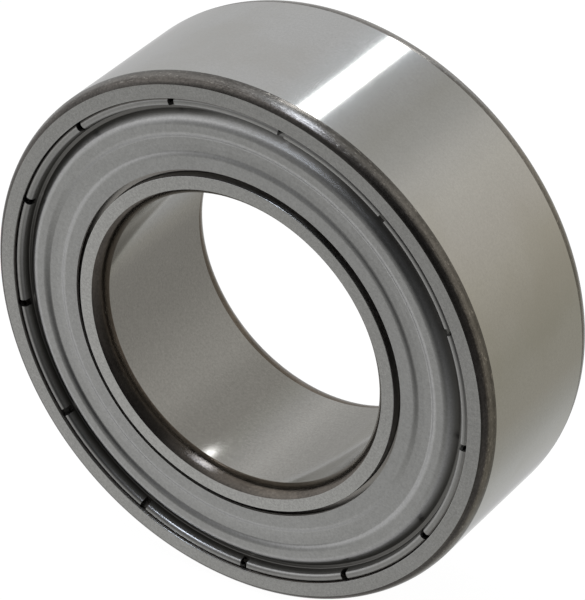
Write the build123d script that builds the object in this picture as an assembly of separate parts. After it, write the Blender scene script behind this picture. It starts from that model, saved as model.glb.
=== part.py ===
from build123d import *
import math
import os

# Double-row angular contact ball bearing, shielded on both sides.
# Frame: millimetres, origin at the centre of the bearing, bearing axis along Y, +Z up.
# The bearing stands on its outer ring. The front face is the -Y face, the rear face the +Y face.
# Radii are measured from the Y axis. A depth is measured inwards from the nearer side face.
# A side is -1 for the front half and +1 for the rear half. Angles run from +X towards +Z.

# ---- boundary dimensions ----
BORE_R = 50.0 / 2            # shaft seat
OUTSIDE_R = 90.0 / 2         # housing seat
WIDTH = 30.2                 # both rings, over their side faces
HALF_WIDTH = WIDTH / 2
OUTER_CORNER_R = 1.3         # corner of the outer ring, radial leg
OUTER_CORNER_A = 2.4         # corner of the outer ring, axial leg
OUTER_CORNER_MID = (0.40, 0.79)      # where its arcs meet: in from outside surface, side face
OUTER_CORNER_BULGES = (0.085, 0.12)  # how far each arc stands off its chord
INNER_CORNER_R = 1.48        # corner of the bore, radial leg
INNER_CORNER_A = 2.7         # corner of the bore, axial leg
INNER_CORNER_BULGE = 0.34

# ---- rolling elements ----
BALL_D = 11.1125             # 7/16 inch balls
BALL_R = BALL_D / 2
BALLS_PER_ROW = 14
BALL_STEP_DEG = 360.0 / BALLS_PER_ROW
PITCH_R = 35.0               # ball centres
ROW_Y = 6.6                  # ball centres from the mid plane
FRONT_PHASE_DEG = 8.0        # first ball of the front row
REAR_PHASE_DEG = FRONT_PHASE_DEG + BALL_STEP_DEG / 2
# Contact lines run from the outer raceways' middle side to the inner raceways' outboard side.
CONTACT_ANGLE = math.radians(30.0)
OUTER_GROOVE_R = 0.530 * BALL_D
INNER_GROOVE_R = 0.520 * BALL_D
BALL_GAP = 0.05              # between ball and raceway on the contact line

# ---- outer ring, inside ----
OUTER_LIP_R = 41.40          # the side face's inner edge
OUTER_EDGE = 0.12            # bevel of that edge
OUTER_LIP_DEPTH = 0.52       # inner end of the lip's straight part
OUTER_CATCH_R = 42.35        # undercut that holds the shield's rolled rim
OUTER_CATCH_TOP = 1.05
OUTER_CATCH_BOTTOM = 1.80
OUTER_SEAT_DEPTH = 2.35      # step that the shield's channel rests on
OUTER_SEAT_R = 41.75
OUTER_SHOULDER_R = 38.8      # low shoulder beside the shield
OUTER_SHOULDER_BEVEL = 0.25
OUTER_LAND_R = 38.3          # high land between the two raceways

# ---- inner ring, outside ----
INNER_LAND_R = 28.65         # land that the shield runs beside
INNER_EDGE = 0.1             # bevel between the side face and that land
INNER_STEP_DEPTH = 1.9       # step up from that land
INNER_STEP_BEVEL = 0.3       # at the foot and the top of the step
INNER_SHOULDER_R = 31.8      # high shoulder beside the shield
INNER_MIDDLE_R = 30.6        # low land between the two raceways

# ---- shields, pressed from sheet; the depths are those of the sheet's outward face ----
SHEET = 0.45
SHIELD_GAP = 0.02            # clearance between the channel and its seat
SHIELD_INNER_R = 29.60
LAND_DEPTH = 0.38            # flat land beside the inner ring
RECESS_DEPTH = 0.66          # ring-shaped recess between the two lands
BEAD_DEPTH = 0.28            # flat land between the recess and the channel
RIM_TOP = 0.22               # top of the rolled rim
RECESS_IN_R = (31.95, 32.50, 33.60)  # recess's inner side, steep and then running out softly
RECESS_IN_RISES = (0.04, 0.005)      # how far the last two of these stand above its floor
RECESS_OUT_R = (34.98, 35.62)        # its outer side
CHANNEL_R = (37.52, 39.05, 39.95)    # top and foot of its sloping side, foot of its steep side
RIM_R = (40.27, 40.86)               # flat of the rolled rim
RIM_END_R = 41.85                    # the rim slopes inwards at 45 degrees to here
TABS = 13                    # the rolled rim is slotted into tabs
TAB_SLOT = 1.15              # width of a slot
TAB_SLOT_LENGTH = 4.0        # radial, past the shield's edge
TAB_PHASE_DEG = 22.6         # first slot
TAB_SLOT_INNER_R = 40.15     # centre of a slot's rounded end
TAB_SLOT_DEPTH = 1.55        # how deep the slot cutter reaches

# ---- cages, moulded crown type ----
CAGE_IN_R = 32.7
CAGE_OUT_R = 37.1
CAGE_BACK_Y = 13.5           # closed side, towards the shield
CAGE_OPEN_Y = 3.4            # finger tips, towards the mid plane
CAGE_BEVEL = 0.5             # on the closed side
POCKET_R = BALL_R + 0.17
RELIEF_W = 2.5               # gap between the fingers of neighbouring pockets
RELIEF_FLOOR_Y = 7.9         # centre of its rounded floor
RELIEF_LENGTH = 12           # radial, past both faces of the cage

OVERCUT = 1.0                # how far cutters run out past the open end of a cut


# ---------------- helpers ----------------
def place(side, radius, depth):
    """Section point (radius, y) at a depth below one side face."""
    return radius, side * (HALF_WIDTH - depth)


def chain(points):
    return [Line(a, b) for a, b in zip(points, points[1:])]


def corner_arc(start, end, bulge):
    """Arc whose middle stands off its chord by bulge, away from (PITCH_R, 0) in the section."""
    mid_r, mid_y = (start[0] + end[0]) / 2, (start[1] + end[1]) / 2
    run_r, run_y = end[0] - start[0], end[1] - start[1]
    length = math.hypot(run_r, run_y)
    normal_r, normal_y = -run_y / length, run_r / length
    if (PITCH_R - mid_r) * normal_r - mid_y * normal_y > 0:
        bulge = -bulge
    return ThreePointArc(start, (mid_r + normal_r * bulge, mid_y + normal_y * bulge), end)


def raceway(side, outward, groove_r, shoulder_r, land_r):
    """Three points of a raceway's arc: at its shoulder, at its deepest and at the middle land.

    outward is +1 for the outer ring's raceway and -1 for the inner ring's.
    """
    offset = groove_r - BALL_R - BALL_GAP
    centre_r = PITCH_R - outward * offset * math.cos(CONTACT_ANGLE)
    centre_y = side * (ROW_Y + outward * offset * math.sin(CONTACT_ANGLE))

    def reach(radius):
        return side * math.sqrt(groove_r ** 2 - (radius - centre_r) ** 2)

    return (
        (shoulder_r, centre_y + reach(shoulder_r)),
        (centre_r + outward * groove_r, centre_y),
        (land_r, centre_y - reach(land_r)),
    )


def revolved(edges):
    """A section drawn as (radius, y) edges, turned about the Y axis."""
    return revolve(make_face(Wire(edges)), Axis.Y, 360)


def around(shape, count, phase):
    """Copies of a shape drawn at +X, evenly spaced about the Y axis."""
    return [Rot(0, -(phase + k * 360.0 / count), 0) * shape for k in range(count)]


def export(shape, name):
    solids = shape.solids()
    piece = solids[0] if len(solids) == 1 else Compound(children=solids)
    export_step(piece, f"parts/{name}.step")


# ---------------- rings ----------------
# Each half section runs from the mid plane on the seat, round the side face,
# to the mid plane on the raceway side.
def outer_half(side):
    mid_in, mid_depth = OUTER_CORNER_MID
    corner_start = place(side, OUTSIDE_R, OUTER_CORNER_A)
    corner_mid = place(side, OUTSIDE_R - mid_in, mid_depth)
    corner_end = place(side, OUTSIDE_R - OUTER_CORNER_R, 0)
    groove = raceway(side, +1, OUTER_GROOVE_R, OUTER_SHOULDER_R, OUTER_LAND_R)
    inside = [  # radius, depth
        (OUTER_LIP_R + OUTER_EDGE, 0),
        (OUTER_LIP_R, OUTER_EDGE),
        (OUTER_LIP_R, OUTER_LIP_DEPTH),
        (OUTER_CATCH_R, OUTER_CATCH_TOP),
        (OUTER_CATCH_R, OUTER_CATCH_BOTTOM),
        (OUTER_SEAT_R, OUTER_SEAT_DEPTH),
        (OUTER_SHOULDER_R + OUTER_SHOULDER_BEVEL, OUTER_SEAT_DEPTH),
        (OUTER_SHOULDER_R, OUTER_SEAT_DEPTH + OUTER_SHOULDER_BEVEL),
    ]
    return [
        Line((OUTSIDE_R, 0), corner_start),
        corner_arc(corner_start, corner_mid, OUTER_CORNER_BULGES[0]),
        corner_arc(corner_mid, corner_end, OUTER_CORNER_BULGES[1]),
        *chain([corner_end, *(place(side, *point) for point in inside), groove[0]]),
        ThreePointArc(*groove),
        Line(groove[-1], (OUTER_LAND_R, 0)),
    ]


def inner_half(side):
    corner_start = place(side, BORE_R, INNER_CORNER_A)
    corner_end = place(side, BORE_R + INNER_CORNER_R, 0)
    groove = raceway(side, -1, INNER_GROOVE_R, INNER_SHOULDER_R, INNER_MIDDLE_R)
    outside = [  # radius, depth
        (INNER_LAND_R - INNER_EDGE, 0),
        (INNER_LAND_R, INNER_EDGE),
        (INNER_LAND_R, INNER_STEP_DEPTH - INNER_STEP_BEVEL),
        (INNER_LAND_R + INNER_STEP_BEVEL, INNER_STEP_DEPTH),
        (INNER_SHOULDER_R - INNER_STEP_BEVEL, INNER_STEP_DEPTH),
        (INNER_SHOULDER_R, INNER_STEP_DEPTH + INNER_STEP_BEVEL),
    ]
    return [
        Line((BORE_R, 0), corner_start),
        corner_arc(corner_start, corner_end, INNER_CORNER_BULGE),
        *chain([corner_end, *(place(side, *point) for point in outside), groove[0]]),
        ThreePointArc(*groove),
        Line(groove[-1], (INNER_MIDDLE_R, 0)),
    ]


def ring(half_section):
    return revolved(half_section(-1) + half_section(+1))


# ---------------- shield ----------------
def shield_spine():
    """Middle line of the pressed sheet: radius, depth, bend radius (0 at the two ends)."""
    half_sheet = SHEET / 2
    land = LAND_DEPTH + half_sheet
    recess = RECESS_DEPTH + half_sheet
    bead = BEAD_DEPTH + half_sheet
    rim = RIM_TOP + half_sheet
    floor = OUTER_SEAT_DEPTH - SHIELD_GAP - half_sheet
    return [
        (SHIELD_INNER_R, land, 0),
        (RECESS_IN_R[0], land, 1.2),
        (RECESS_IN_R[1], recess - RECESS_IN_RISES[0], 1.2),
        (RECESS_IN_R[2], recess - RECESS_IN_RISES[1], 5.0),
        (RECESS_OUT_R[0], recess, 0.8),
        (RECESS_OUT_R[1], bead, 1.2),
        (CHANNEL_R[0], bead, 1.3),
        (CHANNEL_R[1], floor, 0.45),
        (CHANNEL_R[2], floor, 0.42),
        (RIM_R[0], rim, 0.34),
        (RIM_R[1], rim, 0.34),
        (RIM_END_R, rim + RIM_END_R - RIM_R[1], 0),
    ]


def sheet_face(spine, shift):
    """The spine with rounded bends, moved sideways by shift (positive is deeper).

    Gives each edge as its points, two for a line and three for an arc.
    """
    points = [Vector(radius, depth) for radius, depth, _ in spine]
    bends = [bend for _, _, bend in spine[1:-1]]

    def sideways(start, end):
        along = (end - start).normalized()
        return Vector(-along.Y, along.X) * shift

    edges = []
    last = points[0] + sideways(points[0], points[1])
    for before, corner, after, bend in zip(points, points[1:], points[2:], bends):
        back = (before - corner).normalized()
        ahead = (after - corner).normalized()
        inward = (back + ahead).normalized()
        half_angle = math.acos(back.dot(ahead)) / 2
        centre = corner + inward * (bend / math.sin(half_angle))
        cut = bend / math.tan(half_angle)
        # Arcs stay concentric: the face on the inside of a bend gets the smaller radius.
        turn = ahead.cross(back).Z
        face_bend = bend - math.copysign(1, turn) * shift
        scale = face_bend / bend
        start = centre + (corner + back * cut - centre) * scale
        end = centre + (corner + ahead * cut - centre) * scale
        edges += [(last, start), (start, centre - inward * face_bend, end)]
        last = end
    edges.append((last, points[-1] + sideways(points[-2], points[-1])))
    return edges


def shield(side):
    def draw(*points):
        placed = [place(side, point.X, point.Y) for point in points]
        return Line(*placed) if len(placed) == 2 else ThreePointArc(*placed)

    spine = shield_spine()
    top, under = sheet_face(spine, -SHEET / 2), sheet_face(spine, SHEET / 2)
    edges = [draw(*points) for points in top + under]
    edges.append(draw(top[0][0], under[0][0]))
    edges.append(draw(top[-1][-1], under[-1][-1]))
    body = revolved(edges)
    # slots through the rolled rim, open outwards, with a rounded inner end
    height = TAB_SLOT_DEPTH + OVERCUT
    middle_y = side * (HALF_WIDTH - TAB_SLOT_DEPTH / 2 + OVERCUT / 2)
    slot = Box(TAB_SLOT_LENGTH, height, TAB_SLOT)
    slot = Pos(TAB_SLOT_INNER_R + TAB_SLOT_LENGTH / 2, middle_y, 0) * slot
    end = Rot(90, 0, 0) * Cylinder(TAB_SLOT / 2, height)
    end = Pos(TAB_SLOT_INNER_R, middle_y, 0) * end
    return body - around(slot + end, TABS, TAB_PHASE_DEG)


# ---------------- cage and balls ----------------
def cage(side, phase):
    back_y, open_y = side * CAGE_BACK_Y, side * CAGE_OPEN_Y
    bevel_y = back_y - side * CAGE_BEVEL
    body = revolved(chain([
        (CAGE_IN_R + CAGE_BEVEL, back_y),
        (CAGE_OUT_R - CAGE_BEVEL, back_y),
        (CAGE_OUT_R, bevel_y),
        (CAGE_OUT_R, open_y),
        (CAGE_IN_R, open_y),
        (CAGE_IN_R, bevel_y),
        (CAGE_IN_R + CAGE_BEVEL, back_y),
    ]))
    pocket = Pos(PITCH_R, side * ROW_Y, 0) * (Rot(90, 0, 0) * Sphere(POCKET_R))
    # gap between fingers, with a rounded floor
    depth = RELIEF_FLOOR_Y - CAGE_OPEN_Y
    middle_y = side * (CAGE_OPEN_Y + depth / 2 - OVERCUT / 2)
    gap = Pos(PITCH_R, middle_y, 0) * Box(RELIEF_LENGTH, depth + OVERCUT, RELIEF_W)
    root = Rot(0, 90, 0) * Cylinder(RELIEF_W / 2, RELIEF_LENGTH)
    root = Pos(PITCH_R, side * RELIEF_FLOOR_Y, 0) * root
    body = body - around(pocket, BALLS_PER_ROW, phase)
    return body - around(gap + root, BALLS_PER_ROW, phase + BALL_STEP_DEG / 2)


def ball(side, angle_deg):
    angle = math.radians(angle_deg)
    x, z = PITCH_R * math.cos(angle), PITCH_R * math.sin(angle)
    return Pos(x, side * ROW_Y, z) * Sphere(BALL_R)


os.makedirs("parts", exist_ok=True)
export(ring(outer_half), "outer_ring")
export(ring(inner_half), "inner_ring")
for side, row, phase in ((-1, "front", FRONT_PHASE_DEG), (+1, "rear", REAR_PHASE_DEG)):
    export(shield(side), f"{row}_shield")
    export(cage(side, phase), f"{row}_cage")
    for k in range(BALLS_PER_ROW):
        export(ball(side, phase + k * BALL_STEP_DEG), f"{row}_ball_{k + 1:02d}")
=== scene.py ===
# Double-row angular contact ball bearing with a pressed shield at each end.
# The bearing axis is Y and the mid plane is y = 0. Front is -Y, where the camera stands; +Z is up.
# Angles about the axis run from +X towards +Z. Lengths are millimetres unless noted.
import bpy
import math
from collections import namedtuple
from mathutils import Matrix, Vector


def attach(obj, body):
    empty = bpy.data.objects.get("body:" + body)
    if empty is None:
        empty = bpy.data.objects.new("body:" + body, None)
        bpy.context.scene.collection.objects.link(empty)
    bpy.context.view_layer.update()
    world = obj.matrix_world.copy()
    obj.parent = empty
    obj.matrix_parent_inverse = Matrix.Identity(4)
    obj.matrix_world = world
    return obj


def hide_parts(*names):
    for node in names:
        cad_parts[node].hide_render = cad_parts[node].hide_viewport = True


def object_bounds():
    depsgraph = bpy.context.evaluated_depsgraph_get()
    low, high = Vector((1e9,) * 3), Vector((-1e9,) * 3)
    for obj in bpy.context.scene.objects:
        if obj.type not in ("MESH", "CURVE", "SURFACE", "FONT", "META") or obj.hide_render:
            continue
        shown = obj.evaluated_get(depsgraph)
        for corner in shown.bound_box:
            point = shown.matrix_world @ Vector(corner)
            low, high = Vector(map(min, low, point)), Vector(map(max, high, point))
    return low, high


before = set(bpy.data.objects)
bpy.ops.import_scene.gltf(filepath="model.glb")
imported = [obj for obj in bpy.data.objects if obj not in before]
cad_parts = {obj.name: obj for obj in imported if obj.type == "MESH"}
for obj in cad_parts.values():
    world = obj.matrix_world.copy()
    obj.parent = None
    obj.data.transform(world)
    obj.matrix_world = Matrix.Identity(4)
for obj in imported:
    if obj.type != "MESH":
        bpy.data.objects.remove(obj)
cad_lo, cad_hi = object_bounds()
MM = 0.001

# ================================================================ dimensions
HALF_WIDTH = 15.1
OUTSIDE_R, BORE_R = 45.0, 25.0
BALL_R, PITCH_R, ROW_Y, BALLS = 5.55625, 35.0, 6.6, 14
CONTACT_COS, CONTACT_SIN = math.cos(math.radians(30)), math.sin(math.radians(30))
BALL_CLEARANCE = 0.05
FRONT_PHASE = 8.0                            # degrees, first ball of the front row
REAR_PHASE = FRONT_PHASE + 180.0 / BALLS     # half a ball spacing further round

SEGMENTS = 416                               # round each ring
RING_STEP, RING_STEP_ANGLE = 3.0, 9.0        # longest steps along a ring's section, mm and degrees

SEAT_DEPTH = 2.35                            # floor of the outer ring's shield recess
SHEET_T = 0.45
SHIELD_STEP, SHIELD_STEP_ANGLE = 1.2, 7.0
SLOTS, SLOT_PHASE = 13, 22.6                 # slots in the shield's rim; degrees
SLOT_WIDTH, SLOT_DEPTH = 1.15, 1.55          # the depth at which a slot ends
SLOT_PITCH = 360.0 / SLOTS
COLUMNS_PER_SLOT = 32                        # mesh columns from one slot to the next


# ================================================================ section drawing
# A section is a list of pieces in the (radius, y) plane.
Line = namedtuple("Line", "start end material")
Arc = namedtuple("Arc", "start middle end centre material")


def rounded_path(points, material, first_material=None):
    """Open polyline through points (radius, y, corner radius), with its inner corners rounded.
    The first run and the corner after it may have a material of their own."""
    pieces = []
    last = points[0][:2]
    for k in range(1, len(points)):
        run_material = first_material if k == 1 and first_material else material
        x, y, radius = points[k]
        if k == len(points) - 1:
            pieces.append(Line(last, (x, y), run_material))
            break
        # unit vectors from the corner back and ahead
        back_x, back_y = points[k - 1][0] - x, points[k - 1][1] - y
        next_x, next_y = points[k + 1][0] - x, points[k + 1][1] - y
        back_length, next_length = math.hypot(back_x, back_y), math.hypot(next_x, next_y)
        back_x, back_y = back_x / back_length, back_y / back_length
        next_x, next_y = next_x / next_length, next_y / next_length
        half = math.acos(max(-1.0, min(1.0, back_x * next_x + back_y * next_y))) / 2
        cut = radius / math.tan(half)
        start = (x + back_x * cut, y + back_y * cut)
        end = (x + next_x * cut, y + next_y * cut)
        # the bisector carries the arc's centre and middle
        in_x, in_y = back_x + next_x, back_y + next_y
        length = math.hypot(in_x, in_y)
        reach = radius / math.sin(half)
        centre = (x + in_x / length * reach, y + in_y / length * reach)
        middle = (x + in_x / length * (reach - radius), y + in_y / length * (reach - radius))
        pieces.append(Line(last, start, run_material))
        pieces.append(Arc(start, middle, end, centre, run_material))
        last = end
    return pieces


def bulged(start, end, bulge, inside, material):
    """Arc that rises by bulge over its chord, on the side away from the point inside."""
    mid_x, mid_y = (start[0] + end[0]) / 2, (start[1] + end[1]) / 2
    dx, dy = end[0] - start[0], end[1] - start[1]
    chord = math.hypot(dx, dy)
    out_x, out_y = -dy / chord, dx / chord
    if (inside[0] - mid_x) * out_x + (inside[1] - mid_y) * out_y > 0:
        out_x, out_y = -out_x, -out_y
    middle = (mid_x + out_x * bulge, mid_y + out_y * bulge)
    radius = (chord * chord / 4 + bulge * bulge) / (2 * bulge)
    centre = (middle[0] - out_x * radius, middle[1] - out_y * radius)
    return Arc(start, middle, end, centre, material)


def mirrored(pieces):
    """The same run on the other side of the mid plane, in the opposite order."""
    def flip(point):
        return (point[0], -point[1])

    result = []
    for piece in reversed(pieces):
        start, end = flip(piece.end), flip(piece.start)
        if isinstance(piece, Line):
            result.append(Line(start, end, piece.material))
        else:
            result.append(Arc(start, flip(piece.middle), end, flip(piece.centre), piece.material))
    return result


def sample(piece, step, step_angle):
    """Points of one piece, each with the unit normal. A line's normal is left of its travel,
    and so is an arc's."""
    if isinstance(piece, Line):
        (x0, y0), (x1, y1) = piece.start, piece.end
        length = math.hypot(x1 - x0, y1 - y0)
        count = max(1, int(math.ceil(length / step)))
        normal = (-(y1 - y0) / length, (x1 - x0) / length)
        return [((x0 + (x1 - x0) * k / count, y0 + (y1 - y0) * k / count), normal)
                for k in range(count + 1)]
    start, middle, end, centre, _ = piece
    radius = math.hypot(start[0] - centre[0], start[1] - centre[1])
    first = math.atan2(start[1] - centre[1], start[0] - centre[0])
    last = math.atan2(end[1] - centre[1], end[0] - centre[0])
    turn = ((middle[0] - start[0]) * (end[1] - middle[1])
            - (middle[1] - start[1]) * (end[0] - middle[0]))
    if turn > 0:
        while last < first:
            last += 2 * math.pi
    else:
        while last > first:
            last -= 2 * math.pi
    count = max(3, int(math.ceil(abs(last - first) / math.radians(step_angle))))
    result = []
    for k in range(count + 1):
        angle = first + (last - first) * k / count
        out_x, out_y = math.cos(angle), math.sin(angle)
        point = (centre[0] + radius * out_x, centre[1] + radius * out_y)
        if k == 0:
            point = start
        if k == count:
            point = end
        result.append((point, (-out_x, -out_y) if turn > 0 else (out_x, out_y)))
    return result


# ================================================================ meshes
def add_object(name, verts, faces, materials):
    mesh = bpy.data.meshes.new(name)
    mesh.from_pydata([(x * MM, y * MM, z * MM) for x, y, z in verts], [], faces)
    for material in materials:
        mesh.materials.append(material)
    obj = bpy.data.objects.new(name, mesh)
    bpy.context.scene.collection.objects.link(obj)
    return obj


def add_smooth_object(name, verts, faces, normals, materials, face_materials=None):
    """Mesh with exact normals, one per face corner in face order."""
    obj = add_object(name, verts, faces, materials)
    mesh = obj.data
    mesh.polygons.foreach_set("material_index", face_materials or [0] * len(faces))
    mesh.polygons.foreach_set("use_smooth", [True] * len(faces))
    mesh.update()
    mesh.normals_split_custom_set(normals)
    return obj


def lathe(name, pieces, materials):
    """Closed section turned about the Y axis. materials: piece material name to material."""
    slots = list(materials)
    runs = [(sample(piece, RING_STEP, RING_STEP_ANGLE), piece.material) for piece in pieces]
    outline = [point for run, _ in runs for point, _ in run[:-1]]
    rows = len(outline)
    area = sum(outline[i - 1][0] * outline[i][1] - outline[i][0] * outline[i - 1][1]
               for i in range(rows))
    # outward is left of travel on a clockwise outline, right on the other
    side = -1.0 if area > 0 else 1.0
    ring = [(math.cos(2 * math.pi * j / SEGMENTS), math.sin(2 * math.pi * j / SEGMENTS))
            for j in range(SEGMENTS)]
    verts = [(radius * c, y, radius * s) for radius, y in outline for c, s in ring]
    faces, normals, face_materials = [], [], []
    row = 0
    for run, material in runs:
        for (_, normal0), (_, normal1) in zip(run, run[1:]):
            row0, row1 = row % rows * SEGMENTS, (row + 1) % rows * SEGMENTS
            for j in range(SEGMENTS):
                j1 = (j + 1) % SEGMENTS
                quad = [row0 + j, row0 + j1, row1 + j1, row1 + j]
                corners = [
                    (normal[0] * side * ring[k][0], normal[1] * side, normal[0] * side * ring[k][1])
                    for normal, k in ((normal0, j), (normal0, j1), (normal1, j1), (normal1, j))]
                if side < 0:
                    quad.reverse()
                    corners.reverse()
                faces.append(quad)
                normals.extend(corners)
                face_materials.append(slots.index(material))
            row += 1
    return add_smooth_object(name, verts, faces, normals, list(materials.values()), face_materials)


# ================================================================ node helpers
class Nodes:
    """Node tree of a material or the world. Helpers return output sockets."""

    def __init__(self, owner, output="OutputMaterial"):
        owner.use_nodes = True
        self.tree = owner.node_tree
        self.tree.nodes.clear()
        self.surface = self.add(output).inputs["Surface"]

    def feed(self, socket, value):
        """Link an output socket, or set a value; colours are given without alpha."""
        if isinstance(value, bpy.types.NodeSocket):
            self.tree.links.new(value, socket)
        else:
            socket.default_value = (*value, 1.0) if socket.type == "RGBA" else value

    def add(self, kind, inputs=None, **settings):
        node = self.tree.nodes.new("ShaderNode" + kind)
        for key, value in settings.items():
            setattr(node, key, value)
        for key, value in (inputs or {}).items():
            self.feed(node.inputs[key], value)
        return node

    def math(self, operation, *values, clamp=False):
        inputs = dict(enumerate(values))
        return self.add("Math", inputs, operation=operation, use_clamp=clamp).outputs[0]

    def vary(self, base, noise, amount, clamp=False):
        """base + amount * (noise - 0.5)"""
        return self.math("MULTIPLY_ADD", self.math("SUBTRACT", noise, 0.5), amount, base,
                         clamp=clamp)

    def hypotenuse(self, a, b):
        return self.math("SQRT", self.math(
            "ADD", self.math("MULTIPLY", a, a), self.math("MULTIPLY", b, b)))

    def remap(self, value, low, high, out_low=0.0, out_high=1.0, kind="SMOOTHSTEP"):
        return self.add("MapRange", {
            "Value": value, "From Min": low, "From Max": high,
            "To Min": out_low, "To Max": out_high,
        }, interpolation_type=kind, clamp=True).outputs["Result"]

    def combine(self, x, y, z):
        return self.add("CombineXYZ", {0: x, 1: y, 2: z}).outputs[0]

    def separate(self, vector):
        return self.add("SeparateXYZ", {0: vector}).outputs

    def noise(self, vector, scale, detail=3.0, roughness=0.55, distortion=0.0):
        return self.add("TexNoise", {
            "Vector": vector, "Scale": scale, "Detail": detail,
            "Roughness": roughness, "Distortion": distortion,
        }).outputs["Fac"]

    def mix(self, factor, first, second, blend="MIX"):
        # inputs 6 and 7 and output 2 are the colour sockets
        return self.add("Mix", {0: factor, 6: first, 7: second},
                        data_type="RGBA", blend_type=blend, clamp_factor=True).outputs[2]

    def scale_colour(self, colour, factor):
        return self.mix(1.0, colour, self.combine(factor, factor, factor), "MULTIPLY")

    def ramp(self, factor, stops):
        """stops: (position, colour)"""
        node = self.add("ValToRGB", {"Fac": factor})
        elements = node.color_ramp.elements
        elements.remove(elements[-1])
        elements[0].position = stops[0][0]
        elements[0].color = (*stops[0][1], 1.0)
        for position, colour in stops[1:]:
            elements.new(position).color = (*colour, 1.0)
        return node.outputs["Color"]

    def bump(self, height, strength, distance):
        return self.add("Bump", {
            "Strength": strength, "Distance": distance, "Height": height}).outputs["Normal"]


class PrincipledNodes(Nodes):
    """A new material with one Principled shader."""

    def __init__(self, name):
        self.material = bpy.data.materials.new(name)
        super().__init__(self.material)
        self.principled = self.add("BsdfPrincipled")
        self.feed(self.surface, self.principled.outputs["BSDF"])

    def finish(self, values):
        for key, value in values.items():
            self.feed(self.principled.inputs[key], value)
        return self.material


class BearingNodes(PrincipledNodes):
    """Adds millimetre coordinates about the bearing axis, and patterns laid out in them."""

    def __init__(self, name):
        super().__init__(name)
        position = self.separate(self.add("TexCoord").outputs["Object"])
        self.x, self.y, self.z = (self.math("MULTIPLY", position[k], 1000.0) for k in range(3))
        self.radius = self.hypotenuse(self.x, self.z)
        self.cosine = self.math("DIVIDE", self.x, self.radius)
        self.sine = self.math("DIVIDE", self.z, self.radius)

    def depth(self):
        """Distance in from the nearer side face."""
        return self.math("SUBTRACT", HALF_WIDTH, self.math("ABSOLUTE", self.y))

    def clouds(self, scale, detail=3.0, roughness=0.55):
        return self.noise(self.combine(self.x, self.y, self.z), scale, detail, roughness)

    def streaks(self, crossing, across, around, detail, roughness):
        """Noise drawn out round the axis. crossing is the coordinate that crosses the lines;
        across and around are the frequencies in the two directions."""
        vector = self.combine(
            self.math("MULTIPLY", self.cosine, around),
            self.math("MULTIPLY", crossing, across),
            self.math("MULTIPLY", self.sine, around))
        return self.noise(vector, 1.0, detail, roughness)

    def speckle(self, colour, amount):
        fine = self.clouds(scale=2.4, detail=4.0, roughness=0.85)
        return self.scale_colour(colour, self.vary(1.0, fine, amount))


# ================================================================ materials
def grey(value):
    return (value, value, value)


def steel(name, crossing, dark, light, rough, cloud, line, aniso, line_scale, rough_var,
          grain=0.3, bump_strength=0.12, tint=None, tone=None):
    """Ground or turned steel: lines round the axis, slow cloudiness, and roughness that varies
    with both. crossing: "y" on cylinders, "radius" on faces. cloud, line, grain: strengths.
    tone: a, b, c of the brightness a + b s + c s^2, with s along the diagonal of x and z. The tone
    paints light and shade across a face, lightest towards -X and -Z."""
    nodes = BearingNodes(name)
    coordinate = getattr(nodes, crossing)
    fine = nodes.streaks(coordinate, across=line_scale, around=3.0, detail=3.0, roughness=0.6)
    wide = nodes.streaks(coordinate, across=line_scale * 0.18, around=1.2, detail=2.0,
                         roughness=0.5)
    cloudy = nodes.clouds(scale=0.08, detail=4.0, roughness=0.6)
    blend = nodes.vary(0.5, fine, amount=line * 1.6)
    blend = nodes.vary(blend, wide, amount=line)
    blend = nodes.vary(blend, cloudy, amount=cloud * 2.0, clamp=True)
    colour = nodes.speckle(nodes.mix(blend, dark, light), grain)
    # painted light and shade: brightness changes across the face along the x-z diagonal
    if tone:
        diagonal = nodes.math("MULTIPLY", nodes.math("ADD", nodes.x, nodes.z), math.sqrt(0.5))
        slope = nodes.math("MULTIPLY_ADD", diagonal, tone[2], tone[1])
        colour = nodes.scale_colour(
            colour, nodes.math("MULTIPLY_ADD", slope, diagonal, tone[0]))
    if tint:
        patches = nodes.clouds(scale=0.05, detail=3.0, roughness=0.5)
        patches = nodes.remap(patches, low=0.42, high=0.68)
        colour = nodes.mix(nodes.math("MULTIPLY", patches, 0.5), colour, tint)
    roughness = nodes.vary(rough, fine, amount=rough_var)
    roughness = nodes.vary(roughness, cloudy, amount=rough_var, clamp=True)
    height = nodes.math("MULTIPLY_ADD", wide, 0.6, nodes.math("MULTIPLY", fine, 0.4))
    tangent = nodes.add("Tangent", direction_type="RADIAL", axis="Y").outputs["Tangent"]
    return nodes.finish({
        "Base Color": colour,
        "Metallic": 1.0,
        "Roughness": roughness,
        "Anisotropic": aniso,
        "Anisotropic Rotation": 0.25,
        "Tangent": tangent,
        "Normal": nodes.bump(height, strength=bump_strength, distance=0.00002),
    })


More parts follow.
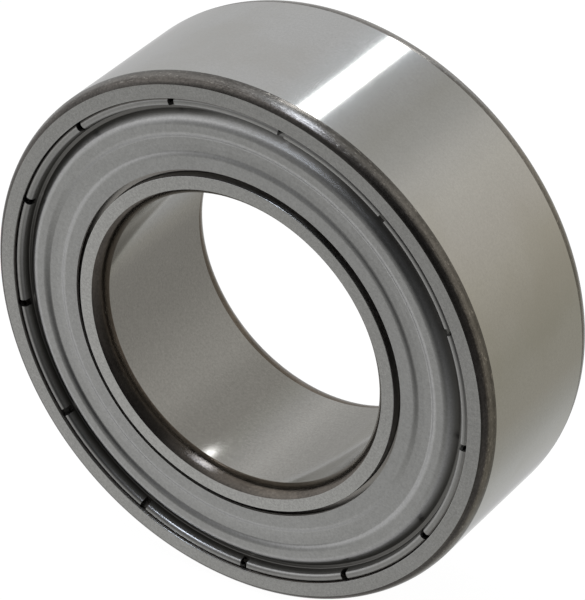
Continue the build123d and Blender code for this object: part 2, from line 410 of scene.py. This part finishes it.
def corner_steel(name, stops, seed_shift, rough, spark_amount, front_level, rear_level):
    """Rounded ring corner left as turned and heat treated: dark and gritty, with short bright
    flecks. stops: colour from the side face inwards. The levels are the brightness of the
    front and rear corners, which paint light and shade on two alike corners; seed_shift moves the
    fleck pattern."""
    nodes = BearingNodes(name)
    depth = nodes.depth()
    flecks = nodes.noise(nodes.combine(
        nodes.math("MULTIPLY_ADD", nodes.cosine, 40.0, seed_shift),
        nodes.math("MULTIPLY", nodes.y, 3.6),
        nodes.math("MULTIPLY", nodes.sine, 40.0)), scale=1.0, detail=5.0, roughness=0.75)
    grain = nodes.clouds(scale=2.6, detail=4.0, roughness=0.75)
    turned = nodes.streaks(nodes.y, across=5.0, around=2.2, detail=3.0, roughness=0.65)
    patches = nodes.clouds(scale=0.22, detail=3.0, roughness=0.6)

    ramp_depth = 2.5
    place = nodes.vary(nodes.math("DIVIDE", depth, ramp_depth), turned, amount=0.5)
    place = nodes.vary(place, grain, amount=0.3, clamp=True)
    level = nodes.vary(1.0, grain, amount=1.6)
    level = nodes.vary(level, patches, amount=0.9)
    level = nodes.vary(level, turned, amount=0.7)
    # painted light and shade: the front corner is scaled by front_level, the rear corner by
    # rear_level
    level = nodes.math("MULTIPLY", level, nodes.remap(
        nodes.y, low=-5.0, high=5.0, out_low=front_level, out_high=rear_level))
    darkest = 0.35
    level = nodes.math("MAXIMUM", level, darkest)
    colour = nodes.scale_colour(nodes.ramp(place, stops), level)
    # flecks fade out next to the side face
    spark = nodes.math("MULTIPLY", nodes.remap(flecks, low=0.56, high=0.68),
                       nodes.remap(depth, low=0.1, high=0.8))
    spark = nodes.math("MULTIPLY", spark, spark_amount)
    height = nodes.math("MULTIPLY_ADD", grain, 0.6, nodes.math("MULTIPLY", turned, 0.5))
    return nodes.finish({
        "Base Color": nodes.mix(spark, colour, (0.52, 0.49, 0.45)),
        "Metallic": 0.86,
        "Roughness": nodes.vary(rough, flecks, amount=0.30, clamp=True),
        "Normal": nodes.bump(height, strength=0.35, distance=0.00006),
    })


def sheet_steel(name):
    """Cold-rolled sheet, pressed: satin, slightly cloudy, with faint drawing lines."""
    nodes = BearingNodes(name)
    fine = nodes.streaks(nodes.radius, across=6.0, around=5.0, detail=3.0, roughness=0.6)
    cloudy = nodes.clouds(scale=0.11, detail=5.0, roughness=0.62)
    mottled = nodes.clouds(scale=1.1, detail=4.0, roughness=0.7)
    blend = nodes.vary(0.5, cloudy, amount=0.9)
    blend = nodes.vary(blend, mottled, amount=0.35)
    blend = nodes.vary(blend, fine, amount=0.3)
    colour = nodes.speckle(nodes.mix(blend, (0.46, 0.46, 0.455), grey(0.60)), amount=0.8)
    # painted shade in the channel near the rim, darker with depth; thinner near the top, where the
    # overhead strip light falls into the channel
    channel = nodes.math("MULTIPLY", nodes.remap(nodes.depth(), low=0.55, high=1.5),
                         nodes.remap(nodes.radius, low=37.0, high=37.8))
    lit_angle = math.radians(80)
    lit_top = nodes.math("MULTIPLY_ADD", nodes.cosine, math.cos(lit_angle),
                          nodes.math("MULTIPLY", nodes.sine, math.sin(lit_angle)))
    lit_top = nodes.remap(lit_top, low=0.925, high=0.99)
    channel_shade = nodes.math("MULTIPLY_ADD", lit_top, -0.5, 0.9)
    # mix towards the dark colour of the painted shade
    colour = nodes.mix(nodes.math("MULTIPLY", channel, channel_shade), colour, (0.195, 0.19, 0.18))
    rim = nodes.math("MULTIPLY", nodes.remap(nodes.radius, low=39.9, high=40.3), 0.45)
    colour = nodes.mix(rim, colour, (0.30, 0.295, 0.28))
    roughness = nodes.vary(0.33, cloudy, amount=0.14)
    roughness = nodes.vary(roughness, mottled, amount=0.08, clamp=True)
    height = nodes.math("MULTIPLY_ADD", mottled, 0.5, nodes.math("MULTIPLY", cloudy, 1.6))
    return nodes.finish({
        "Base Color": colour,
        "Metallic": 1.0,
        "Roughness": roughness,
        "Normal": nodes.bump(height, strength=0.25, distance=0.00004),
    })


def ball_steel(name):
    """Polished steel, almost even."""
    nodes = PrincipledNodes(name)
    position = nodes.add("TexCoord").outputs["Object"]
    fine = nodes.noise(position, scale=900.0, detail=4.0, roughness=0.7)
    wide = nodes.noise(position, scale=160.0, detail=2.0, roughness=0.5)
    return nodes.finish({
        "Base Color": nodes.mix(wide, grey(0.60), grey(0.68)),
        "Metallic": 1.0,
        "Roughness": nodes.math("MULTIPLY_ADD", fine, 0.05, 0.05),
    })


def polyamide(name):
    """Moulded, glass-filled polyamide in its natural cream colour."""
    nodes = PrincipledNodes(name)
    position = nodes.add("TexCoord").outputs["Object"]
    flow = nodes.noise(position, scale=120.0, detail=4.0, roughness=0.6, distortion=0.6)
    fibre = nodes.noise(position, scale=1400.0, detail=3.0, roughness=0.6)
    return nodes.finish({
        "Base Color": nodes.mix(flow, (0.60, 0.53, 0.37), (0.74, 0.68, 0.52)),
        "Roughness": nodes.math("MULTIPLY_ADD", fibre, 0.18, 0.38),
        "Subsurface Weight": 0.05,
        "Subsurface Radius": (0.002, 0.0015, 0.001),
        "Normal": nodes.bump(fibre, strength=0.15, distance=0.00003),
    })


# keyed by the material names used in the ring sections, in slot order
RING_MATERIALS = {
    "outside": steel(
        "ground_outside", "y", dark=(0.545, 0.545, 0.535), light=(0.60, 0.60, 0.595),
        rough=0.085, cloud=0.30, line=0.22, aniso=0.6, line_scale=7.0, rough_var=0.05,
        tint=(0.50, 0.49, 0.455), grain=0.36),
    "bore": steel(
        "ground_bore", "y", dark=(0.43, 0.427, 0.412), light=(0.49, 0.487, 0.472),
        rough=0.13, cloud=0.30, line=0.30, aniso=0.3, line_scale=7.0, rough_var=0.05,
        grain=0.75),
    # tone on the two faces paints light and shade, lightest towards -X and -Z
    "outer_face": steel(
        "ground_face_outer", "radius", dark=(0.435, 0.432, 0.425), light=(0.565, 0.562, 0.555),
        rough=0.25, cloud=0.30, line=0.40, aniso=0.2, line_scale=8.0, rough_var=0.08,
        grain=0.95, tone=(0.905, -0.0010, 0.000055)),
    "inner_face": steel(
        "ground_face_inner", "radius", dark=(0.545, 0.542, 0.533), light=(0.65, 0.647, 0.638),
        rough=0.25, cloud=0.25, line=0.35, aniso=0.2, line_scale=8.0, rough_var=0.08,
        grain=1.0, tone=(0.97, -0.0032, 0.0)),
    "turned": steel(
        "turned_steel", "radius", dark=(0.46, 0.44, 0.415), light=(0.60, 0.58, 0.555),
        rough=0.36, cloud=0.3, line=0.5, aniso=0.3, line_scale=6.0, rough_var=0.12,
        bump_strength=0.3),
    "raceway": steel(
        "raceway_steel", "y", dark=grey(0.60), light=grey(0.66),
        rough=0.10, cloud=0.15, line=0.15, aniso=0.3, line_scale=12.0, rough_var=0.03),
    "outer_corner": corner_steel("ring_corner_heat_treated", [
        (0.0, (0.135, 0.125, 0.115)), (0.25, (0.17, 0.155, 0.14)),
        (0.42, (0.27, 0.253, 0.233)), (0.58, (0.25, 0.235, 0.217)),
        (0.74, (0.165, 0.155, 0.142)), (1.0, (0.17, 0.162, 0.15)),
    ], seed_shift=0.0, rough=0.20, spark_amount=0.85, front_level=0.82, rear_level=1.2),
    "bore_corner": corner_steel("bore_corner_heat_treated", [
        (0.0, (0.19, 0.17, 0.15)), (0.35, (0.15, 0.13, 0.11)),
        (0.7, (0.17, 0.143, 0.115)), (1.0, (0.16, 0.135, 0.11)),
    ], seed_shift=37.0, rough=0.14, spark_amount=0.25, front_level=1.0, rear_level=1.25),
}
SHEET = sheet_steel("shield_sheet_steel")
BALL = ball_steel("ball_polished_steel")
NYLON = polyamide("cage_polyamide_natural")


# ================================================================ rings
# Turned steps from the side face down to the raceway shoulder: radius, depth, corner radius
OUTER_STEPS = [
    (41.40, 0, 0.10), (41.40, 0.52, 0.10), (42.35, 1.05, 0.15), (42.35, 1.80, 0.15),
    (41.75, SEAT_DEPTH, 0.10), (38.80, SEAT_DEPTH, 0.22),
]
INNER_STEPS = [(28.65, 0, 0.09), (28.65, 1.9, 0.25), (31.80, 1.9, 0.25)]


def front_y(depth):
    return -(HALF_WIDTH - depth)


def half_section(outward, conformity, skin, face, corner, steps, land_radius):
    """Front half of a ring's section, from its ground cylinder round to its raceway side.
    outward: 1 for the outer ring, -1 for the inner. conformity: raceway radius over ball
    diameter. skin, face: materials. land_radius: the land between the two raceways."""
    groove_r = conformity * 2 * BALL_R
    shift = outward * (groove_r - BALL_R - BALL_CLEARANCE)
    centre_r = PITCH_R - shift * CONTACT_COS
    centre_y = -(ROW_Y + shift * CONTACT_SIN)

    def reach(radius):
        return math.sqrt(groove_r * groove_r - (radius - centre_r) ** 2)

    shoulder_radius = steps[-1][0]
    shoulder_end = (shoulder_radius, centre_y - reach(shoulder_radius))
    land_end = (land_radius, centre_y + reach(land_radius))
    stations = [(radius, front_y(depth), rounding) for radius, depth, rounding in steps]
    return [
        Line((corner[0].start[0], 0), corner[0].start, skin),
        *corner,
        *rounded_path([(*corner[-1].end, 0), *stations, (*shoulder_end, 0)], "turned", face),
        Arc(shoulder_end, (centre_r + outward * groove_r, centre_y), land_end,
            (centre_r, centre_y), "raceway"),
        Line(land_end, (land_radius, 0), "turned"),
    ]


def outer_corner():
    """Two arcs from the outside cylinder to the side face."""
    start = (OUTSIDE_R, front_y(2.4))
    middle = (OUTSIDE_R - 0.40, front_y(0.79))
    end = (OUTSIDE_R - 1.3, front_y(0))
    inside = (OUTSIDE_R - 5, 0)
    return [bulged(start, middle, 0.085, inside, "outer_corner"),
            bulged(middle, end, 0.12, inside, "outer_corner")]


def bore_corner():
    """One arc from the bore to the side face."""
    return [bulged((BORE_R, front_y(2.7)), (BORE_R + 1.48, front_y(0)), 0.34,
                   (BORE_R + 5, 0), "bore_corner")]


def add_part(obj, node, body):
    """Put obj in place of a CAD node, moving with body."""
    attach(obj, body)
    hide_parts(node)


def ring(node, half):
    pieces = half + mirrored(half)
    names = {piece.material for piece in pieces}
    used = {name: RING_MATERIALS[name] for name in RING_MATERIALS if name in names}
    add_part(lathe(f"{node}_ground", pieces, used), node, node)


ring("outer_ring", half_section(
    outward=1, conformity=0.530, skin="outside", face="outer_face",
    corner=outer_corner(), steps=OUTER_STEPS, land_radius=38.3))
ring("inner_ring", half_section(
    outward=-1, conformity=0.520, skin="bore", face="inner_face",
    corner=bore_corner(), steps=INNER_STEPS, land_radius=30.6))


# ================================================================ shields
def shield_path():
    """Middle of the sheet, inner edge to rim: radius, depth, bend radius."""
    half_sheet = SHEET_T / 2
    land, recess, bead, rim = (depth + half_sheet for depth in (0.38, 0.66, 0.28, 0.22))
    floor_gap = 0.02
    channel = SEAT_DEPTH - floor_gap - half_sheet
    flare_start, flare_end = 40.86, 41.85       # the rim's end slopes in at 45 degrees
    return [
        (29.60, land, 0), (31.95, land, 1.2),
        (32.50, recess - 0.04, 1.2), (33.60, recess - 0.005, 5.0),
        (34.98, recess, 0.8), (35.62, bead, 1.2),
        (37.52, bead, 1.3),
        (39.05, channel, 0.45), (39.95, channel, 0.42),
        (40.27, rim, 0.34), (flare_start, rim, 0.34),
        (flare_end, rim + flare_end - flare_start, 0),
    ]


def shield_spine():
    """Sampled path with normals, and the number of the row where the slots end."""
    spine = []
    for piece in rounded_path(shield_path(), "sheet"):
        for point, normal in sample(piece, SHIELD_STEP, SHIELD_STEP_ANGLE):
            if spine:
                (x, y), (normal_x, normal_y) = spine[-1]
                if math.hypot(point[0] - x, point[1] - y) < 1e-6:
                    # where pieces meet, keep one point with the mean normal
                    mean = ((normal_x + normal[0]) / 2, (normal_y + normal[1]) / 2)
                    spine[-1] = (point, mean)
                    continue
            spine.append((point, normal))
    # add a row exactly where the slots end, on the wall that faces the axis
    wall_from = 39.5
    for k in range(len(spine) - 1):
        (start, start_normal), (end, end_normal) = spine[k], spine[k + 1]
        if start[0] > wall_from and start[1] > SLOT_DEPTH >= end[1]:
            share = (start[1] - SLOT_DEPTH) / (start[1] - end[1])
            radius = start[0] + (end[0] - start[0]) * share
            normal = start_normal if share < 0.5 else end_normal
            spine.insert(k + 1, ((radius, SLOT_DEPTH), normal))
            return spine, k + 1


def column_angle(column, radius):
    """Angle in radians. The columns beside a slot's middle lie on its edges; the rest are
    spread evenly between one slot's edge and the next."""
    k = column % COLUMNS_PER_SLOT
    slot = column // COLUMNS_PER_SLOT
    if k > COLUMNS_PER_SLOT // 2:
        k -= COLUMNS_PER_SLOT
        slot += 1
    middle = SLOT_PHASE + slot * 360.0 / SLOTS
    edge = math.degrees(math.asin(SLOT_WIDTH / 2 / radius))
    if abs(k) <= 1:
        return math.radians(middle + k * edge)
    span = SLOT_PITCH - 2 * edge
    offset = edge + (abs(k) - 1) * span / (COLUMNS_PER_SLOT - 2)
    return math.radians(middle + math.copysign(offset, k))


def shield(end_name, side):
    """Pressed disc: two parallel skins over one spine, joined at the edges, with a slotted rim.
    Rows run from the inner edge to the rim's end, columns run round. side: -1 front, 1 rear."""
    spine, slot_row = shield_spine()
    rows, columns = len(spine), SLOTS * COLUMNS_PER_SLOT
    verts, vert_normals = [], []
    for skin_sign in (-1.0, 1.0):
        for (radius, depth), normal in spine:
            length = math.hypot(*normal)
            normal_r, normal_d = normal[0] / length, normal[1] / length
            offset = skin_sign * SHEET_T / 2
            skin_r, skin_depth = radius + normal_r * offset, depth + normal_d * offset
            for j in range(columns):
                angle = column_angle(j, radius)
                c, s = math.cos(angle), math.sin(angle)
                verts.append((skin_r * c, side * (HALF_WIDTH - skin_depth), skin_r * s))
                vert_normals.append((skin_sign * normal_r * c, -side * skin_sign * normal_d,
                                     skin_sign * normal_r * s))
    faces, normals = [], []

    def index(skin, row, column):
        return (skin * rows + row) * columns + column % columns

    def add_face(quad, normal=None):
        """Quad wound to face its normal, or its vertices' normals if none is given."""
        a, b, c = (Vector(verts[v]) for v in quad[:3])
        if normal:
            wanted = Vector(normal)
        else:
            wanted = sum((Vector(vert_normals[v]) for v in quad), Vector((0, 0, 0)))
        if (b - a).cross(c - a).dot(wanted) < 0:
            quad = quad[::-1]
        faces.append(quad)
        normals.extend([normal] * len(quad) if normal else [vert_normals[v] for v in quad])

    def in_slot(column):
        return column % COLUMNS_PER_SLOT in (0, COLUMNS_PER_SLOT - 1)

    def direction(row):
        """Unit (radius, depth) step from this row to the next."""
        start, end = spine[row][0], spine[row + 1][0]
        dx, dy = end[0] - start[0], end[1] - start[1]
        length = math.hypot(dx, dy)
        return dx / length, dy / length

    def close_edge(row, column, facing, radius):
        """Face across the sheet's thickness; facing is its normal as (radius, depth)."""
        angle = column_angle(column, radius)
        add_face([index(0, row, column), index(0, row, column + 1),
                  index(1, row, column + 1), index(1, row, column)],
                 (facing[0] * math.cos(angle), -side * facing[1], facing[0] * math.sin(angle)))

    for skin in (0, 1):
        for i in range(rows - 1):
            for j in range(columns):
                if i < slot_row or not in_slot(j):
                    add_face([index(skin, i, j), index(skin, i, j + 1),
                              index(skin, i + 1, j + 1), index(skin, i + 1, j)])
    for j in range(columns):
        close_edge(0, j, facing=(-1.0, 0.0), radius=30)
        if in_slot(j):
            close_edge(slot_row, j, facing=direction(slot_row), radius=40)
        else:
            close_edge(rows - 1, j, facing=direction(rows - 2), radius=41)
    # both sides of every slot
    for k in range(SLOTS):
        angle = math.radians(SLOT_PHASE + k * 360.0 / SLOTS)
        for offset in (1, -1):
            j = k * COLUMNS_PER_SLOT + offset
            normal = (offset * math.sin(angle), 0.0, -offset * math.cos(angle))
            for i in range(slot_row, rows - 1):
                add_face([index(0, i, j), index(0, i + 1, j),
                          index(1, i + 1, j), index(1, i, j)], normal)
    # leave out the vertices inside the slots, which no face uses
    used = sorted({v for face in faces for v in face})
    renumbered = {v: i for i, v in enumerate(used)}
    obj = add_smooth_object(
        f"{end_name}_shield_pressed", [verts[v] for v in used],
        [[renumbered[v] for v in face] for face in faces], normals, [SHEET])
    add_part(obj, f"{end_name}_shield", "outer_ring")


shield("front", -1)
shield("rear", 1)


# ================================================================ balls and cages
def ball(name, centre, divisions=14):
    """Sphere from a subdivided cube, so that it has no poles."""
    verts, faces, seen = [], [], {}

    def vertex(point):
        key = tuple(round(c * divisions) for c in point)
        if key not in seen:
            on_cube = Vector(tuple(math.tan(c * math.pi / 4) for c in point))
            q = on_cube.normalized() * BALL_R
            seen[key] = len(verts)
            verts.append((q.x + centre[0], q.y + centre[1], q.z + centre[2]))
        return seen[key]

    for axis in range(3):
        for sign in (-1, 1):
            for i in range(divisions):
                for j in range(divisions):
                    quad = []
                    for di, dj in ((0, 0), (1, 0), (1, 1), (0, 1)):
                        point = [0.0, 0.0, 0.0]
                        point[axis] = float(sign)
                        point[(axis + 1) % 3] = (i + di) * 2.0 / divisions - 1.0
                        point[(axis + 2) % 3] = (j + dj) * 2.0 / divisions - 1.0
                        quad.append(vertex(point))
                    faces.append(quad if sign > 0 else quad[::-1])
    normals = [tuple((Vector(verts[v]) - Vector(centre)).normalized())
               for face in faces for v in face]
    return add_smooth_object(name, verts, faces, normals, [BALL])


for row_name, side, phase in (("front", -1, FRONT_PHASE), ("rear", 1, REAR_PHASE)):
    for k in range(BALLS):
        angle = math.radians(phase + k * 360.0 / BALLS)
        node = f"{row_name}_ball_{k + 1:02d}"
        centre = (PITCH_R * math.cos(angle), side * ROW_Y, PITCH_R * math.sin(angle))
        add_part(ball(node + "_polished", centre), node, node)
for node in ("front_cage", "rear_cage"):
    cage_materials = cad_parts[node].data.materials
    cage_materials.clear()
    cage_materials.append(NYLON)


# ================================================================ tones of the room
# Tones are display values 0..255 as seen on the steel that mirrors them. A heading is the angle
# about the bearing axis, in degrees, of the direction a reflected ray takes.
VIEW_ANGLE, HALF_VIEW_ANGLE = 49.3, 24.6     # the camera's angle about the axis
VIEW_ACROSS = 0.706                          # share of the view direction across the axis
GROUND_REFLECTANCE, BORE_REFLECTANCE = 0.575, 0.46


def linear(tone, gain):
    """Display tone, grey or RGB, to linear light."""
    channels = tone if isinstance(tone, tuple) else grey(tone)
    return tuple(
        (v / 255 / 12.92 if v <= 10.31 else ((v / 255 + 0.055) / 1.055) ** 2.4) * gain
        for v in channels)


def grazing_reflectance(heading, base):
    """Reflectance of a cylinder about the axis where it mirrors this heading to the camera."""
    facing = abs(VIEW_ACROSS * math.cos(math.radians(heading / 2 - HALF_VIEW_ANGLE)))
    return base + (1 - base) * (1 - facing) ** 5


def tone_stop(tone, heading, reflectance):
    return ((heading + 180.0) / 360.0, linear(tone, gain=1 / reflectance))


def turn_share(nodes, heading):
    """Heading in radians, -pi..pi, to a ramp position 0..1."""
    return nodes.math("MULTIPLY_ADD", heading, 1 / (2 * math.pi), 0.5)


# ================================================================ world
# (heading, tone) round the room, for directions towards the rear, across and to the front
REAR_WALLS = [
    (-180, 165), (-169, 168), (-153, 175), (-140, 202), (-119, 207), (-108, 174),
    (-97, (167, 167, 165)), (-85, (158, 158, 155)), (-69, (140, 139, 133)),
    (-55, (132, 129, 120)), (-30, (132, 129, 119)), (-10, (141, 137, 127)),
    (5, (150, 146, 136)), (22, (158, 154, 146)), (41, (163, 160, 153)), (54, (159, 157, 152)),
    (66, (146, 145, 141)), (77, (140, 139, 135)), (88, (146, 146, 145)), (95, (156, 158, 160)),
    (102, (196, 204, 210)), (107, (188, 195, 201)), (111, (168, 170, 172)),
    (122, 164), (150, 165), (180, 166),
]
MIDDLE_WALLS = [
    (-180, 165), (-150, 160), (-110, 150), (-80, 130), (-56, 115), (-12, 62), (20, 45),
    (45, 42), (62, 56), (75, 95), (88, 142), (97, 158), (110, 162), (125, 178), (143, 192),
    (160, 180), (180, 165),
]
FRONT_WALLS = [
    (-180, 141), (-150, (139, 139, 137)), (-110, (137, 137, 135)), (-80, (120, 120, 117)),
    (-45, 90), (-10, 60), (25, 37), (49, 31), (66, 42), (82, 92), (97, 118), (108, 128),
    (130, 142), (150, 142), (180, 141),
]
# brightness of the front walls from straight ahead (0) to half way across (1)
FRONT_FALL = [(0.0, 0.42), (0.36, 0.49), (0.48, 0.69), (0.60, 1.0), (0.74, 1.36), (1.0, 1.5)]
# Overhead strip lights along the axis: heading, half widths where the edge starts and is full,
# y of the direction (start, full) at the front end and at the rear end, brightness.
# The outside surface mirrors the first, the rounded corners the second.
STRIPS = [
    (103.1, 5.1, 4.0, (0.40, 0.56), (0.93, 0.80), (7.0, 7.0, 7.0)),
    (93.0, 6.4, 3.6, (-0.52, -0.38), (0.26, 0.10), (5.6, 6.2, 7.3)),
]


def build_world():
    world = bpy.data.worlds.new("studio")
    bpy.context.scene.world = world
    nodes = Nodes(world, "OutputWorld")
    x, y, z = nodes.separate(nodes.add("TexCoord").outputs["Generated"])
    heading = nodes.math("ARCTAN2", z, x)
    share = turn_share(nodes, heading)

    rear = nodes.ramp(share, [
        tone_stop(tone, degrees, grazing_reflectance(degrees, GROUND_REFLECTANCE))
        for degrees, tone in REAR_WALLS])
    middle, front = (nodes.ramp(share, [
        tone_stop(tone, degrees, GROUND_REFLECTANCE) for degrees, tone in table])
        for table in (MIDDLE_WALLS, FRONT_WALLS))
    fall = nodes.ramp(nodes.remap(y, low=-1.0, high=-0.5, kind="LINEAR"),
                      [(position, grey(level)) for position, level in FRONT_FALL])
    front = nodes.mix(1.0, front, fall, "MULTIPLY")
    front = nodes.mix(nodes.remap(y, low=-0.66, high=-0.40), front, middle)
    light = nodes.mix(nodes.remap(y, low=-0.30, high=0.35), front, rear)
    for centre, edge_start, edge_full, front_end, rear_end, level in STRIPS:
        off = nodes.math("ABSOLUTE", nodes.math("SUBTRACT", heading, math.radians(centre)))
        strip = nodes.remap(off, math.radians(edge_start), math.radians(edge_full))
        ends = nodes.math("MULTIPLY", nodes.remap(y, *front_end), nodes.remap(y, *rear_end))
        light = nodes.mix(nodes.math("MULTIPLY", strip, ends), light, level)

    # the camera itself sees plain white
    room = nodes.add("Background", {"Color": light}).outputs[0]
    white = nodes.add("Background", {"Color": grey(1.0)}).outputs[0]
    is_camera = nodes.add("LightPath").outputs["Is Camera Ray"]
    seen = nodes.add("MixShader", {0: is_camera, 1: room, 2: white})
    nodes.feed(nodes.surface, seen.outputs[0])
    world.cycles.sampling_method = "MANUAL"
    world.cycles.sample_map_resolution = 1024


build_world()


# ================================================================ floor
def floor_material():
    """Pale and mostly self-lit from above, clear from below."""
    material = bpy.data.materials.new("floor_pale")
    nodes = Nodes(material)
    diffuse = nodes.add("BsdfDiffuse", {"Color": grey(0.08)})
    glow = nodes.add("Emission", {"Color": grey(1.0), "Strength": 0.975})
    pale = nodes.add("AddShader", {0: diffuse.outputs[0], 1: glow.outputs[0]})
    clear = nodes.add("BsdfTransparent")
    below = nodes.add("NewGeometry").outputs["Backfacing"]
    surface = nodes.add("MixShader", {0: below, 1: pale.outputs[0], 2: clear.outputs[0]})
    nodes.feed(nodes.surface, surface.outputs[0])
    return material


FLOOR_HALF = 3000.0
FLOOR_GAP = 0.02
floor_z = cad_lo.z / MM - FLOOR_GAP
floor = add_object(
    "floor",
    [(x * FLOOR_HALF, y * FLOOR_HALF, floor_z) for x, y in ((-1, -1), (1, -1), (1, 1), (-1, 1))],
    [[0, 1, 2, 3]], [floor_material()])
floor.visible_glossy = False
floor.visible_diffuse = False
floor.visible_shadow = False

# ================================================================ card behind the bore
# Disc that stands for the room behind the bore. The camera and diffuse rays don't see it.
CARD_R, CARD_GAP, CARD_SIDES = 24.9, 0.25, 96
LAMP_X, LAMP_Z = -10.8, 5.3                  # bright spot on the card
LAMP_FADE_R, LAMP_FULL_R = 1.4, 0.4
LAMP_LEVEL = 9.0
# angle on the bore in degrees, tone there
BORE_TONES = [
    (140, 138), (150, 142), (160, (142, 142, 141)), (170, (128, 126, 121)), (178, 115),
    (190, 113), (200, 114), (210, 120), (220, 128), (230, 132), (240, 122), (250, 121),
    (256, (129, 128, 124)), (262, (140, 139, 137)), (270, (152, 151, 149)),
    (280, (143, 142, 140)), (290, (139, 138, 136)), (300, (142, 141, 138)), (310, 130),
    (319, 132),
]


def bore_stop(bore_angle, tone):
    """Ramp stop that gives this tone on the bore at this angle; plain tones are made warm."""
    heading = (2 * bore_angle - VIEW_ANGLE + 180.0) % 360.0 - 180.0
    if not isinstance(tone, tuple):
        tone = (tone, tone - 2, tone - 6)
    return tone_stop(tone, heading, grazing_reflectance(heading, BORE_REFLECTANCE))


def card_material():
    """Emits by the direction it is seen in, with one small lamp."""
    material = bpy.data.materials.new("bore_card")
    nodes = Nodes(material)
    geometry = nodes.add("NewGeometry")
    incoming = nodes.separate(geometry.outputs["Incoming"])
    heading = nodes.math("ARCTAN2", nodes.math("MULTIPLY", incoming[2], -1.0),
                         nodes.math("MULTIPLY", incoming[0], -1.0))
    colour = nodes.ramp(turn_share(nodes, heading), sorted(bore_stop(*row) for row in BORE_TONES))
    position = nodes.separate(geometry.outputs["Position"])
    off_x = nodes.math("ADD", nodes.math("MULTIPLY", position[0], 1000.0), -LAMP_X)
    off_z = nodes.math("SUBTRACT", nodes.math("MULTIPLY", position[2], 1000.0), LAMP_Z)
    lamp = nodes.remap(nodes.hypotenuse(off_x, off_z), low=LAMP_FADE_R, high=LAMP_FULL_R)
    glow = nodes.add("Emission", {"Color": nodes.mix(lamp, colour, grey(LAMP_LEVEL))})
    nodes.feed(nodes.surface, glow.outputs[0])
    return material


card_y = HALF_WIDTH + CARD_GAP
card_angles = [2 * math.pi * k / CARD_SIDES for k in range(CARD_SIDES)]
card = add_object(
    "bore_card",
    [(0.0, card_y, 0.0)] + [(CARD_R * math.cos(a), card_y, CARD_R * math.sin(a))
                            for a in card_angles],
    [[0, 1 + k, 1 + (k + 1) % CARD_SIDES] for k in range(CARD_SIDES)], [card_material()])
card.visible_camera = False
card.visible_diffuse = False

# ================================================================ camera
CAMERA_PLACE = (0.286786, -0.439269, 0.332632)          # metres
CAMERA_DIRECTION = (-0.46087, 0.70806, -0.53502)

camera_data = bpy.data.cameras.new("camera")
camera = bpy.data.objects.new("camera", camera_data)
scene = bpy.context.scene
scene.collection.objects.link(camera)
camera.location = CAMERA_PLACE
camera.rotation_mode = "QUATERNION"
camera.rotation_quaternion = Vector(CAMERA_DIRECTION).to_track_quat("-Z", "Y")
camera_data.sensor_width = 36.0
camera_data.lens = 240.916
camera_data.clip_start = 0.01
camera_data.clip_end = 20.0
scene.camera = camera

scene.view_settings.view_transform = "Standard"
scene.view_settings.look = "None"
scene.view_settings.exposure = 0.0
scene.view_settings.gamma = 1.0
